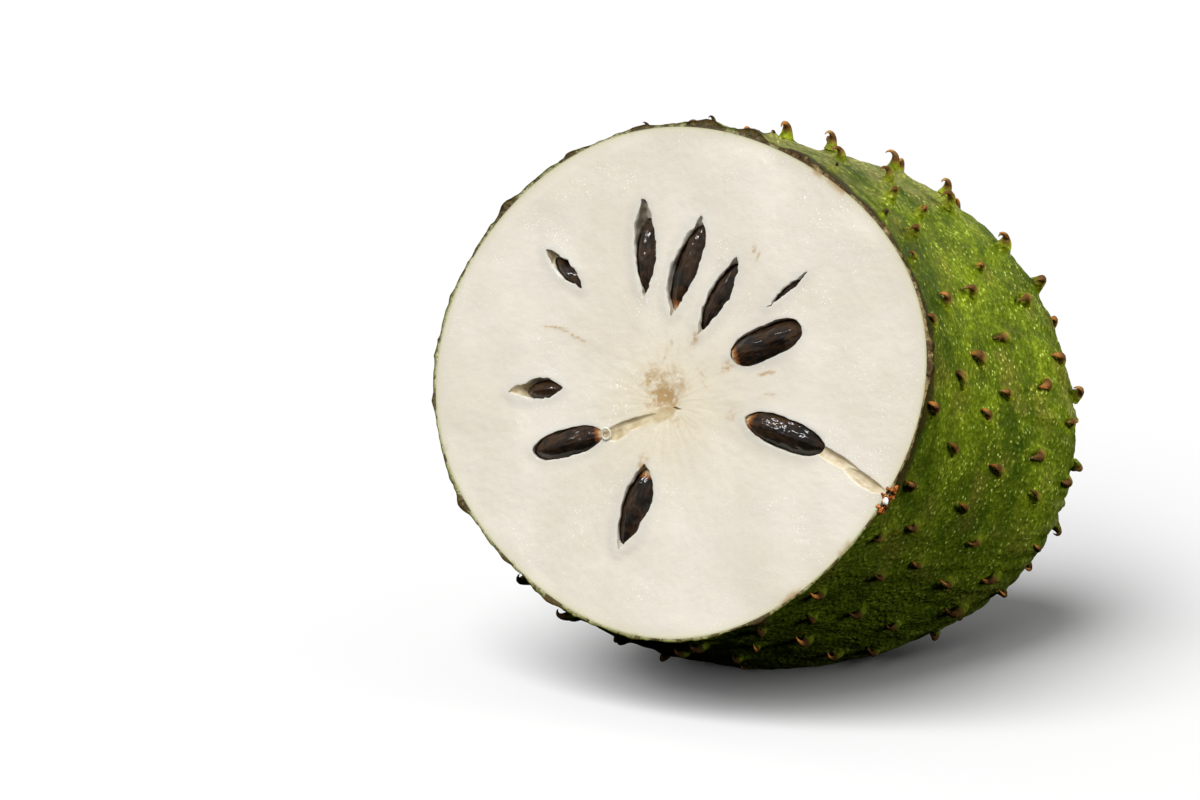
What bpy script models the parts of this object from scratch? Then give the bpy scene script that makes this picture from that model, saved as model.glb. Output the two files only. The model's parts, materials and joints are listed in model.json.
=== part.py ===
"""A soursop cut across: thin spiny skin, white flesh with open seed pockets, ten loose seeds.

The fruit lies on its side on a small pressed flat, with the cut face turned up a little.
Everything is modelled in the fruit's own frame, whose origin is the middle of the cut face:
X runs to the right across the face, Y from the cut into the fruit, Z up the face.
An empty carries that frame to its resting place. Lengths are metres, angles degrees.
"""

import math
import random
from collections import namedtuple

import bmesh
import bpy
from mathutils import Matrix, Vector

MM = 0.001

# Outer form
FACE_RADIUS = 0.0554        # mean radius of the cut face
FACE_FLARE = 0.024          # how much the girth has opened towards the cut
BODY_LENGTH = 0.102         # from the cut face to the blossom end
SHOULDER = 0.46             # share of the length where the girth starts to fall away
END_CURVE = 2.6             # how long the girth holds past the shoulder
END_BLUNTNESS = 2.25        # how round the blossom end is
BOW_ACROSS = (0.0054, 0.021)    # the centre line's drift to the right, straight and bowed
BOW_UP = (-0.0015, 0.0016)      # its drift up the face

# Lobes of the section: how many, their share of the radius, direction of the first
FACE_LOBES = ((2, 0.033, -11), (3, 0.010, 29), (4, 0.014, 13))
BODY_LOBES = ((2, 0.084, 80), (3, 0.034, -10), (4, 0.019, -30))

# Resting pose
CUT_TILT = 17.0             # how far the cut face looks up
FLAT_DEPTH = 0.0024         # how far the belly is pressed in where it rests

# Layers
SKIN_THICKNESS = 0.0012
GAP = 0.0003                # between pieces that touch
SEGMENTS = 42               # facets round the fruit
SKIN_RINGS = 20             # facets along the outside
INNER_RINGS = 12            # facets along the inside of the skin and the flesh

# Spines: each rises from a broad foot and curls over towards the cut, tighter at its tip
SPINE_PITCH = 0.0155
SPINE_JITTER = 0.2          # share of the pitch
SPINE_TWIST = 30            # most that a spine turns away from the cut
SPINE_LENGTH = (0.0042, 0.0058)     # along the curl
SPINE_LEAN = -8             # lean at the foot, away from the cut
SPINE_CURL = 165            # how far the tip has turned from there
SPINE_FOOT = 0.42           # radius of the foot, a share of the length
SPINE_SECTIONS = ((0.34, 0.44), (0.70, 0.20))   # share of the length, share of the foot
SPINE_STEPS = 20            # steps that the curl is added up in
SPINE_SHORT = (1.0, 0.7, 0.45)  # shares of its size that a spine may shrink to for room
SPINE_SUNK = 0.0007
SPINE_SIDES = 4
SPINE_CLEAR = 0.0006        # kept between a spine and the cut plane or the ground
SPINE_SEED = 7

# Seeds: places on the cut face and sizes, in millimetres and degrees. The heading is where
# the blunt end points, which is towards the core. Each lies in a chamber of its own shape,
# opened to the cut face by a pointed slit and, over a bare seed, to the seed's full width.
Seed = namedtuple("Seed", "across up heading length width thickness bare "
                          "slit_across slit_up slit_length slit_width")
SEEDS = (
    Seed(-29.2, 21.0, -36, 11.5, 5.4, 5.0, False, -29.4, 21.6, 12.4, 3.8),
    Seed(-10.6, 25.8, -79, 17.4, 5.2, 6.6, False, -10.2, 27.9, 22.2, 6.0),
    Seed(-0.7, 22.8, -98, 18.8, 7.4, 5.4, True, 0.6, 27.0, 17.4, 7.0),
    Seed(8.0, 18.1, -111, 16.8, 5.2, 6.6, False, 9.1, 18.4, 18.4, 5.4),
    Seed(23.8, 20.8, -134, 11.6, 4.0, 6.0, False, 24.8, 20.8, 12.2, 1.9),
    Seed(20.6, 9.1, 206, 16.8, 8.0, 5.2, True, 21.2, 9.2, 19.0, 7.0),
    Seed(28.0, -9.8, 163, 19.4, 8.0, 5.4, True, 34.0, -11.4, 18.6, 6.0),
    Seed(-5.6, -28.3, 80, 17.4, 7.4, 5.4, True, -5.0, -28.6, 20.0, 7.6),
    Seed(-22.4, -16.2, 17, 17.2, 7.4, 5.4, True, -21.8, -16.1, 19.4, 7.0),
    Seed(-30.8, -5.1, 9, 10.8, 5.2, 5.0, False, -32.4, -5.3, 14.2, 5.0),
)
SEED_TOP = 0.3 * MM         # how far a seed's top lies below the cut face
SEED_BLUNT = 0.93           # the blunt end stops at this share of the half length
SEED_FULLNESS = (2.2, 0.6)
SEED_SIDES = 10
SEED_RINGS = 8
CHAMBER_CLEAR = 0.4 * MM
SLIT_DEPTH = 3.4 * MM
SLIT_RAISE = 0.2 * MM       # middle of a slit or split cutter, outside the cut face
SLIT_FULLNESS = (2.0, 0.8)

# Splits in the flesh: across, up, heading, length, width and depth, as for the seeds
SPLITS = (
    (-6.1, -9.1, 24, 13.0, 2.0, 1.8),
    (46.8, -16.6, -25, 8.0, 2.4, 1.8),
)

SKIN_GREEN = (0.105, 0.165, 0.030, 1.0)
FLESH_CREAM = (0.800, 0.760, 0.660, 1.0)
SEED_BROWN = (0.020, 0.013, 0.009, 1.0)


def clear_scene():
    for item in list(bpy.data.objects):
        bpy.data.objects.remove(item, do_unlink=True)


def lobes(angle, table):
    return sum(share * math.cos(count * (angle - math.radians(first)))
               for count, share, first in table)


def girth(along):
    """Mean radius at a share of the length."""
    past = max(0.0, (along - SHOULDER) / (1.0 - SHOULDER))
    closing = max(0.0, 1.0 - past ** END_CURVE) ** (1.0 / END_BLUNTNESS)
    before = max(0.0, 1.0 - along / SHOULDER)
    return FACE_RADIUS * closing * (1.0 + FACE_FLARE * before ** 2)


def surface_point(along, angle):
    """Point of the smooth outside, from the share of the length and the angle round it."""
    face_share = (1.0 - along) ** 1.5
    body_share = 4.0 * along * (1.0 - along)
    uneven = face_share * lobes(angle, FACE_LOBES) + body_share * lobes(angle, BODY_LOBES)
    radius = girth(along) * (1.0 + uneven)
    drift_across = BOW_ACROSS[0] * along + BOW_ACROSS[1] * along ** 2
    drift_up = BOW_UP[0] * along + BOW_UP[1] * along ** 2
    return Vector((radius * math.cos(angle) + drift_across, BODY_LENGTH * along,
                   radius * math.sin(angle) + drift_up))


def surface_frame(along, angle):
    """Outward normal of the smooth outside and the direction along it towards the cut."""
    step = 1e-3
    low, high = max(0.0, along - step), min(1.0 - step, along + step)
    lengthwise = surface_point(high, angle) - surface_point(low, angle)
    around = surface_point(along, angle + step) - surface_point(along, angle - step)
    normal = lengthwise.cross(around).normalized()
    return normal, -lengthwise.normalized()


def inset_point(along, angle, inset):
    """Surface point moved in by a thickness. On the cut plane it stays in that plane."""
    if inset == 0.0:
        return surface_point(along, angle)
    if along >= 1.0:
        return surface_point(1.0, angle) - Vector((0.0, inset, 0.0))
    normal = surface_frame(along, angle)[0]
    if along == 0.0:
        normal.y = 0.0
        normal.normalize()
    return surface_point(along, angle) - normal * inset


def ring_shares(rings):
    """Shares of the length at which the rings stand, closer together at the blossom end."""
    return [math.sin(0.5 * math.pi * ring / rings) ** 1.15 for ring in range(rings)] + [1.0]


def resting_frame():
    """Placement of the fruit's frame: tilted back, and lowered until the belly is pressed."""
    tilt = Matrix.Rotation(-math.radians(CUT_TILT), 4, "X")
    lowest = min((tilt @ surface_point(ring / 60, math.radians(angle))).z
                 for ring in range(61) for angle in range(0, 360, 3))
    return Matrix.Translation((0.0, 0.0, -lowest - FLAT_DEPTH)) @ tilt


def pressed(point, frame, floor):
    """The point, raised to a height above the ground if it would be lower."""
    standing = frame @ point
    standing.z = max(standing.z, floor)
    return frame.inverted() @ standing


def material(name, colour, roughness):
    made = bpy.data.materials.new(name)
    made.use_nodes = True
    shader = made.node_tree.nodes["Principled BSDF"]
    shader.inputs["Base Color"].default_value = colour
    shader.inputs["Roughness"].default_value = roughness
    return made


def add_object(name, mesh_data, finish=None):
    """Object from a finished bmesh, shaded smooth except at its sharp edges."""
    bmesh.ops.recalc_face_normals(mesh_data, faces=mesh_data.faces)
    mesh = bpy.data.meshes.new(name)
    mesh_data.to_mesh(mesh)
    mesh_data.free()
    mesh.shade_smooth()
    mesh.set_sharp_from_angle(angle=math.radians(40))
    made = bpy.data.objects.new(name, mesh)
    if finish:
        mesh.materials.append(finish)
    bpy.context.scene.collection.objects.link(made)
    return made


def loft(mesh_data, sections):
    """Skin quads over a list of closed sections with equal numbers of vertices."""
    for lower, upper in zip(sections, sections[1:]):
        for index, corner in enumerate(lower):
            after = (index + 1) % len(lower)
            mesh_data.faces.new((corner, lower[after], upper[after], upper[index]))


def fan(mesh_data, section, tip):
    for index, corner in enumerate(section):
        mesh_data.faces.new((corner, section[(index + 1) % len(section)], tip))


def add_wall(mesh_data, rings, inset, frame, floor):
    """One wall of the fruit, from the cut to the blossom end. Returns the ring at the cut."""
    sections = []
    for along in ring_shares(rings)[:-1]:
        ring = []
        for segment in range(SEGMENTS):
            angle = 2.0 * math.pi * segment / SEGMENTS
            point = inset_point(along, angle, inset)
            ring.append(mesh_data.verts.new(pressed(point, frame, floor)))
        sections.append(ring)
    loft(mesh_data, sections)
    fan(mesh_data, sections[-1], mesh_data.verts.new(inset_point(1.0, 0.0, inset)))
    return sections[0]


def make_bare_skin(frame, finish):
    mesh_data = bmesh.new()
    outside = add_wall(mesh_data, SKIN_RINGS, 0.0, frame, 0.0)
    inside = add_wall(mesh_data, INNER_RINGS, SKIN_THICKNESS, frame, SKIN_THICKNESS)
    loft(mesh_data, [outside, inside])
    return add_object("skin", mesh_data, finish)


def spine_places():
    """Rows of places over the outside, an even pitch apart and staggered, as length share
    and angle."""
    draw = random.Random(SPINE_SEED)
    steps = 400
    shares = [step / steps for step in range(steps + 1)]
    run = [0.0]
    for before, after in zip(shares, shares[1:]):
        run.append(run[-1] + math.hypot(girth(after) - girth(before),
                                        BODY_LENGTH * (after - before)))
    row_pitch = SPINE_PITCH * math.sqrt(0.75)
    places = []
    for row in range(int(run[-1] / row_pitch)):
        reached = (row + 0.55) * row_pitch
        along = next(share for share, length in zip(shares, run) if length >= reached)
        count = max(3, round(2.0 * math.pi * girth(along) / SPINE_PITCH))
        for index in range(count):
            turn = index + 0.5 * (row % 2) + draw.uniform(-SPINE_JITTER, SPINE_JITTER)
            slip = draw.uniform(-SPINE_JITTER, SPINE_JITTER) * SPINE_PITCH / BODY_LENGTH
            slip *= girth(along) / FACE_RADIUS
            places.append((min(max(0.0, along + slip), 0.999), 2.0 * math.pi * turn / count))
    return places


def spine_curl(share):
    """Run forward, rise and heading of a spine of unit length at a share of that length."""
    forward, rise = 0.0, 0.0
    for step in range(SPINE_STEPS):
        middle = share * (step + 0.5) / SPINE_STEPS
        heading = math.radians(SPINE_LEAN + SPINE_CURL * middle ** 2)
        forward += math.sin(heading) * share / SPINE_STEPS
        rise += math.cos(heading) * share / SPINE_STEPS
    return forward, rise, math.radians(SPINE_LEAN + SPINE_CURL * share ** 2)


def spine_points(along, angle, twist, length):
    """Sections of one curled spine, root first, and its tip."""
    foot = surface_point(along, angle)
    up, towards_cut = surface_frame(along, angle)
    forward = (Matrix.Rotation(twist, 3, up) @ towards_cut).normalized()
    side = up.cross(forward)
    sections = []
    for share, width in ((0.0, 1.0),) + SPINE_SECTIONS:
        run, rise, heading = spine_curl(share)
        centre = foot + length * (run * forward + rise * up)
        if share == 0.0:
            centre -= SPINE_SUNK * up
            heading = 0.0
        inner = math.cos(heading) * forward - math.sin(heading) * up
        ring = []
        for corner in range(SPINE_SIDES):
            round_angle = 2.0 * math.pi * corner / SPINE_SIDES
            ring.append(centre + length * SPINE_FOOT * width
                        * (math.cos(round_angle) * inner + math.sin(round_angle) * side))
        sections.append(ring)
    run, rise, heading = spine_curl(1.0)
    return sections, foot + length * (run * forward + rise * up)


def make_spines(frame):
    """Every spine that clears the cut plane and the ground, in a collection of their own."""
    stock = bpy.data.collections.new("spines")
    bpy.context.scene.collection.children.link(stock)
    draw = random.Random(SPINE_SEED + 1)
    for along, angle in spine_places():
        twist = math.radians(draw.uniform(-SPINE_TWIST, SPINE_TWIST))
        length = draw.uniform(*SPINE_LENGTH)
        for share in SPINE_SHORT:
            sections, tip = spine_points(along, angle, twist, length * share)
            points = [point for ring in sections for point in ring] + [tip]
            nearest = min(min(point.y, (frame @ point).z) for point in points)
            if nearest > SPINE_CLEAR:
                break
        if nearest < SPINE_CLEAR:
            continue
        mesh_data = bmesh.new()
        rings = [[mesh_data.verts.new(point) for point in ring] for ring in sections]
        mesh_data.faces.new(rings[0])
        loft(mesh_data, rings)
        fan(mesh_data, rings[-1], mesh_data.verts.new(tip))
        spine = add_object("spine", mesh_data)
        bpy.context.scene.collection.objects.unlink(spine)
        stock.objects.link(spine)
    return stock


def apply_modifiers(item):
    """Freeze an object's modifiers into its mesh."""
    graph = bpy.context.evaluated_depsgraph_get()
    finished = bpy.data.meshes.new_from_object(item.evaluated_get(graph))
    item.modifiers.clear()
    item.data = finished


def join_collection(item, stock):
    """Boolean union with everything in a collection, which is then removed."""
    union = item.modifiers.new("spines", "BOOLEAN")
    union.operation = "UNION"
    union.operand_type = "COLLECTION"
    union.collection = stock
    union.solver = "EXACT"
    apply_modifiers(item)
    for spare in list(stock.objects):
        bpy.data.objects.remove(spare, do_unlink=True)
    bpy.data.collections.remove(stock)


def spindle(name, size, fullness, sides, rings, blunt=1.0, finish=None):
    """Seed-shaped body along X with a length, width and thickness. Its blunt end, at +X,
    stops at a share of the half length."""
    mesh_data = bmesh.new()
    length, width, thickness = size
    curve, power = fullness
    sections = []
    turns = [math.pi * ring / rings for ring in range(1, rings)]
    shares = [-math.cos(turn) for turn in turns]
    if blunt < 1.0:
        shares = [share for share in shares if share < blunt - 0.03] + [blunt]
    for share in shares:
        full = (1.0 - abs(share) ** curve) ** power
        ring = []
        for side in range(sides):
            angle = 2.0 * math.pi * side / sides
            ring.append(mesh_data.verts.new((0.5 * length * share,
                                             0.5 * thickness * full * math.sin(angle),
                                             0.5 * width * full * math.cos(angle))))
        sections.append(ring)
    loft(mesh_data, sections)
    fan(mesh_data, sections[0], mesh_data.verts.new((-0.5 * length, 0.0, 0.0)))
    if blunt < 1.0:
        mesh_data.faces.new(sections[-1])
    else:
        fan(mesh_data, sections[-1], mesh_data.verts.new((0.5 * length, 0.0, 0.0)))
    return add_object(name, mesh_data, finish)


def lay_on_face(item, across, up, deep, heading):
    """Place a body on the cut face. Its X axis turns to the heading, its Y stays inwards."""
    item.location = (across * MM, deep, up * MM)
    item.rotation_euler = (0.0, -math.radians(heading), 0.0)


def cut(item, cutter):
    """Boolean difference with a cutter, which is kept only as a guide."""
    cutter.hide_render = True
    cutter.display_type = "WIRE"
    difference = item.modifiers.new(cutter.name, "BOOLEAN")
    difference.operation = "DIFFERENCE"
    difference.object = cutter
    difference.solver = "EXACT"


def make_seed(number, seed, finish):
    size = (seed.length * MM, seed.width * MM, seed.thickness * MM)
    made = spindle(f"seed_{number:02d}", size, SEED_FULLNESS, SEED_SIDES, SEED_RINGS,
                   SEED_BLUNT, finish)
    lay_on_face(made, seed.across, seed.up, SEED_TOP + 0.5 * size[2], seed.heading)
    return made


def make_pocket_cutters(number, seed):
    """The chamber that holds a seed, and what opens it to the cut face."""
    size = (seed.length * MM, seed.width * MM, seed.thickness * MM)
    roomy = [side + 2.0 * CHAMBER_CLEAR for side in size]
    roomy[0] += 2.0 * CHAMBER_CLEAR
    depths = [SEED_TOP + 0.5 * size[2]]
    if seed.bare:
        depths.append(-SLIT_RAISE)
    cutters = []
    for deep in depths:
        chamber = spindle(f"chamber_{number:02d}", roomy, SEED_FULLNESS, SEED_SIDES, SEED_RINGS)
        lay_on_face(chamber, seed.across, seed.up, deep, seed.heading)
        cutters.append(chamber)
    opening = (seed.slit_length * MM, seed.slit_width * MM, 2.0 * SLIT_DEPTH)
    slit = spindle(f"slit_{number:02d}", opening, SLIT_FULLNESS, SEED_SIDES, SEED_RINGS)
    lay_on_face(slit, seed.slit_across, seed.slit_up, -SLIT_RAISE, seed.heading)
    return cutters + [slit]


def make_flesh(frame, finish):
    mesh_data = bmesh.new()
    inset = SKIN_THICKNESS + GAP
    rim = add_wall(mesh_data, INNER_RINGS, inset, frame, inset)
    mesh_data.faces.new(rim)
    flesh = add_object("flesh", mesh_data, finish)
    cutters = []
    for number, seed in enumerate(SEEDS, 1):
        cutters.extend(make_pocket_cutters(number, seed))
    for number, (across, up, heading, length, width, depth) in enumerate(SPLITS, 1):
        size = (length * MM, width * MM, 2.0 * depth * MM)
        split = spindle(f"split_{number:02d}", size, SLIT_FULLNESS, SEED_SIDES, SEED_RINGS)
        lay_on_face(split, across, up, -SLIT_RAISE, heading)
        cutters.append(split)
    bpy.context.view_layer.update()
    for cutter in cutters:
        cut(flesh, cutter)
    apply_modifiers(flesh)
    for cutter in cutters:
        bpy.data.objects.remove(cutter, do_unlink=True)
    return flesh


def rest_on_ground(pieces, frame, widest):
    """Hang the pieces on an empty at the cut face's middle, with the widest piece's box
    centred over the origin."""
    holder = bpy.data.objects.new("cut_face_middle", None)
    bpy.context.scene.collection.objects.link(holder)
    placed = [frame @ vertex.co for vertex in widest.data.vertices]
    middle = [0.5 * (min(point[axis] for point in placed)
                     + max(point[axis] for point in placed)) for axis in (0, 1)]
    holder.matrix_world = Matrix.Translation((-middle[0], -middle[1], 0.0)) @ frame
    for piece in pieces:
        piece.parent = holder


def build():
    clear_scene()
    frame = resting_frame()
    green = material("soursop skin", SKIN_GREEN, 0.55)
    cream = material("soursop flesh", FLESH_CREAM, 0.35)
    brown = material("soursop seed", SEED_BROWN, 0.15)
    skin = make_bare_skin(frame, green)
    join_collection(skin, make_spines(frame))
    flesh = make_flesh(frame, cream)
    seeds = [make_seed(number, seed, brown) for number, seed in enumerate(SEEDS, 1)]
    rest_on_ground([skin, flesh] + seeds, frame, skin)


build()
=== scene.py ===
import json
import math
import random
import time

import bpy
import numpy as np
from mathutils import Matrix, Vector, noise

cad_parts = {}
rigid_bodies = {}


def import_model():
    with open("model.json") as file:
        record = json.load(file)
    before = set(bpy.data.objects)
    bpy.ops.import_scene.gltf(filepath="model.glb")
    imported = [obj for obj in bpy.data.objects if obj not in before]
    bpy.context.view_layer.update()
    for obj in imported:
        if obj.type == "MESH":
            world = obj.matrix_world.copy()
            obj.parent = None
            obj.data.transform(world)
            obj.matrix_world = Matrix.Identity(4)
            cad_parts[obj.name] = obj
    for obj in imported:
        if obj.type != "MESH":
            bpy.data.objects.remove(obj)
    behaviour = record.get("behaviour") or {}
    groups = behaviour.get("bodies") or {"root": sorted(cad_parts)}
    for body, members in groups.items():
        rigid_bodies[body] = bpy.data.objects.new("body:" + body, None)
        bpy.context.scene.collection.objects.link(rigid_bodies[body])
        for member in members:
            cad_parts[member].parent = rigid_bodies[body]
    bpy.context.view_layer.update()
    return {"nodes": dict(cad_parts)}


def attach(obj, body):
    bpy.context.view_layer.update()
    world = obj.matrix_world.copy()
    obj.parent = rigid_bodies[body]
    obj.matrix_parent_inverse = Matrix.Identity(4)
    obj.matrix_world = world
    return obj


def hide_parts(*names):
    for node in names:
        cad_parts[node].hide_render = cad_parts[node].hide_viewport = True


started = time.time()
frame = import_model()
print("frame loaded:", len(frame["nodes"]), "nodes")

mm = 0.001

# The grown form of the fruit, as the solids have it. Its own frame has the middle of the cut
# face as origin, X across the face, Y into the fruit and Z up the face.
fruit = {
    "faceMiddle": (-0.003686, -0.044, 0.071672),
    "cutTilt": 17.0,
    "faceRadius": 0.0554,
    "faceFlare": 0.024,
    "length": 0.102,
    "shoulder": 0.46,
    "endCurve": 2.6,
    "endBluntness": 2.25,
    "bowAcross": (0.0054, 0.021),
    "bowUp": (-0.0015, 0.0016),
    "faceLobes": ((2, 0.033, -11), (3, 0.010, 29), (4, 0.014, 13)),
    "bodyLobes": ((2, 0.084, 80), (3, 0.034, -10), (4, 0.019, -30)),
}
toWorld = (Matrix.Translation(fruit["faceMiddle"])
           @ Matrix.Rotation(-math.radians(fruit["cutTilt"]), 4, "X"))


def lobes(angle, table):
    return sum(share * np.cos(count * (angle - math.radians(first)))
               for count, share, first in table)


def girth(along):
    past = np.clip((along - fruit["shoulder"]) / (1 - fruit["shoulder"]), 0, 1)
    closing = (1 - past ** fruit["endCurve"]) ** (1 / fruit["endBluntness"])
    before = np.clip(1 - along / fruit["shoulder"], 0, 1)
    return fruit["faceRadius"] * closing * (1 + fruit["faceFlare"] * before ** 2)


# points of the smooth outside, from shares of the length and angles round it
def outside(along, angle):
    uneven = ((1 - along) ** 1.5 * lobes(angle, fruit["faceLobes"])
              + 4 * along * (1 - along) * lobes(angle, fruit["bodyLobes"]))
    radius = girth(along) * (1 + uneven)
    x = radius * np.cos(angle) + fruit["bowAcross"][0] * along + fruit["bowAcross"][1] * along ** 2
    z = radius * np.sin(angle) + fruit["bowUp"][0] * along + fruit["bowUp"][1] * along ** 2
    return np.stack([x, fruit["length"] * along, z], axis=-1)


def unit(vectors):
    return vectors / np.maximum(np.linalg.norm(vectors, axis=-1, keepdims=True), 1e-12)


# outward normals and the directions towards the cut
def outsideFrame(along, angle):
    step = 1e-3
    low, high = np.maximum(along - step, 0), np.minimum(along + step, 1 - step)
    low = np.minimum(low, high - step)
    lengthwise = outside(high, angle) - outside(low, angle)
    around = outside(along, angle + step) - outside(along, angle - step)
    normal = unit(np.cross(lengthwise, around))
    normal[np.linalg.norm(around, axis=-1) < 1e-7] = (0, 1, 0)
    return normal, -unit(lengthwise)


def insidePoints(along, angle, inset):
    normal = outsideFrame(along, angle)[0]
    normal[along <= 0, 1] = 0
    return outside(along, angle) - unit(normal) * inset


def noiseAt(points, size, seed=0.0, octaves=2):
    shift = Vector((seed, -seed * 0.7, seed * 1.3))
    return np.array([noise.fractal(Vector(point) / size + shift, 0.6, 2.0, octaves)
                     for point in points])


def smoothstep(low, high, values):
    share = np.clip((values - low) / (high - low), 0, 1)
    return share * share * (3 - 2 * share)


# what stands lower than a floor height in the world is raised to it
def pressFlat(points, floor):
    turn = np.array(toWorld)
    world = points @ turn[:3, :3].T + turn[:3, 3]
    world[:, 2] = np.maximum(world[:, 2], floor)
    return (world - turn[:3, 3]) @ turn[:3, :3]


def deselectAll():
    if bpy.context.object and bpy.context.object.mode != "OBJECT":
        bpy.ops.object.mode_set(mode="OBJECT")
    bpy.ops.object.select_all(action="DESELECT")


def editVertices(action="DESELECT"):
    bpy.ops.object.mode_set(mode="EDIT")
    bpy.ops.mesh.select_mode(type="VERT")
    bpy.ops.mesh.select_all(action=action)


def getPoints(piece):
    points = np.empty(len(piece.data.vertices) * 3)
    piece.data.vertices.foreach_get("co", points)
    return points.reshape(-1, 3)


def setPoints(piece, points):
    piece.data.vertices.foreach_set("co", np.ascontiguousarray(points).ravel())
    piece.data.update()


def selectVertices(piece, chosen):
    editVertices()
    bpy.ops.object.mode_set(mode="OBJECT")
    piece.data.vertices.foreach_set("select", np.asarray(chosen, dtype=bool))
    edges = np.empty(len(piece.data.edges) * 2, dtype=int)
    piece.data.edges.foreach_get("vertices", edges)
    both = np.asarray(chosen, dtype=bool)[edges.reshape(-1, 2)].all(axis=1)
    piece.data.edges.foreach_set("select", both)


def setMark(piece, name, values):
    layer = piece.data.attributes.get(name) or piece.data.attributes.new(name, "FLOAT", "POINT")
    layer.data.foreach_set("value", np.asarray(values, dtype=np.float32))


# extrudes the selected rim ring by ring along an inset wall, which lies deeper behind the
# rim, and closes it at the end
def closeBack(piece, rimAngles, shares, rimInset, backInset):
    count = len(rimAngles)
    for share in shares:
        inset = rimInset + (backInset - rimInset) * min(1, share / 0.03)
        bpy.ops.object.mode_set(mode="EDIT")
        bpy.ops.mesh.extrude_region_move()
        bpy.ops.object.mode_set(mode="OBJECT")
        points = getPoints(piece)
        ring = insidePoints(np.full(count, float(share)), rimAngles, inset)
        points[-count:] = pressFlat(ring, inset)
        setPoints(piece, points)
    bpy.ops.object.mode_set(mode="EDIT")
    bpy.ops.mesh.merge(type="CENTER")
    bpy.ops.object.mode_set(mode="OBJECT")


# Spines, placed by the same rule and draws as on the solid
spines = {
    "pitch": 0.0155,
    "jitter": 0.2,
    "twist": 30,
    "length": (0.0042, 0.0058),
    "lean": -8,
    "curl": 165,
    "foot": 0.42,
    "solidSections": ((0.0, 1.0), (0.34, 0.44), (0.70, 0.20)),
    "short": (1.0, 0.7, 0.45),
    "sunk": 0.0007,
    "clear": 0.0006,
    "seed": 7,
    "sides": 10,
    "rings": 11,
    # lean, curl and foot width of the dressed spines
    "kinds": ((10, 190, 0.20), (3, 175, 0.18), (18, 200, 0.19), (14, 130, 0.22)),
    "taller": (1.0, 1.2),             # against the solid's, where there is room to stand
    "sideSize": 0.90,                 # size of those on the sides, against the top ones
    "underSize": 0.88,                # and of those underneath
    "sideWidth": 1.30,                # and their width
    "leanSides": 40,                  # how much further both lean over
    "rimSize": 0.45,                  # size of the dried ones beside the top of the rim
}


# run forward, rise and heading of a spine of unit length at a share of that length
def spineCurl(share, lean, curl):
    steps = 20
    middles = share * (np.arange(steps) + 0.5) / steps
    headings = np.radians(lean + curl * middles ** 2)
    heading = math.radians(lean + curl * share ** 2)
    step = share / steps
    return float(np.sin(headings).sum()) * step, float(np.cos(headings).sum()) * step, heading


def spinePlaces():
    draw = random.Random(spines["seed"])
    shares = np.arange(401) / 400
    widths = girth(shares)
    run = np.concatenate([[0], np.cumsum(np.hypot(np.diff(widths),
                                                  fruit["length"] * np.diff(shares)))])
    rowPitch = spines["pitch"] * math.sqrt(0.75)
    places = []
    for row in range(int(run[-1] / rowPitch)):
        along = shares[np.argmax(run >= (row + 0.55) * rowPitch)]
        width = float(girth(np.array(along)))
        count = max(3, round(2 * math.pi * width / spines["pitch"]))
        for index in range(count):
            turn = index + 0.5 * (row % 2) + draw.uniform(-spines["jitter"], spines["jitter"])
            slip = draw.uniform(-spines["jitter"], spines["jitter"])
            slip *= spines["pitch"] / fruit["length"] * width / fruit["faceRadius"]
            places.append((min(max(0.0, along + slip), 0.999), 2 * math.pi * turn / count))
    return places


# nearest that a spine of the solid comes to the cut plane or the ground
def spineRoom(foot, up, forward, length):
    side = up.cross(forward)
    points = []
    for share, width in spines["solidSections"]:
        run, rise, heading = spineCurl(share, spines["lean"], spines["curl"])
        centre = foot + length * (run * forward + rise * up)
        if share == 0:
            centre -= spines["sunk"] * up
            heading = 0
        inner = math.cos(heading) * forward - math.sin(heading) * up
        for corner in (inner, side, -inner, -side):
            points.append(centre + length * spines["foot"] * width * corner)
    run, rise, heading = spineCurl(1.0, spines["lean"], spines["curl"])
    points.append(foot + length * (run * forward + rise * up))
    return min(min(point.y, (toWorld @ point).z) for point in points)


# foot, up, forward and length of every spine that clears the cut and the ground
def spineStands():
    draw = random.Random(spines["seed"] + 1)
    stands = []
    for along, angle in spinePlaces():
        twist = math.radians(draw.uniform(-spines["twist"], spines["twist"]))
        length = draw.uniform(*spines["length"])
        place = np.array([along]), np.array([angle])
        foot = Vector(outside(*place)[0])
        up, towardsCut = (Vector(side[0]) for side in outsideFrame(*place))
        forward = (Matrix.Rotation(twist, 3, up) @ towardsCut).normalized()
        for share in spines["short"]:
            room = spineRoom(foot, up, forward, length * share)
            if room > spines["clear"]:
                stands.append((foot, up, forward, length * share))
                break
    return stands


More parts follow.
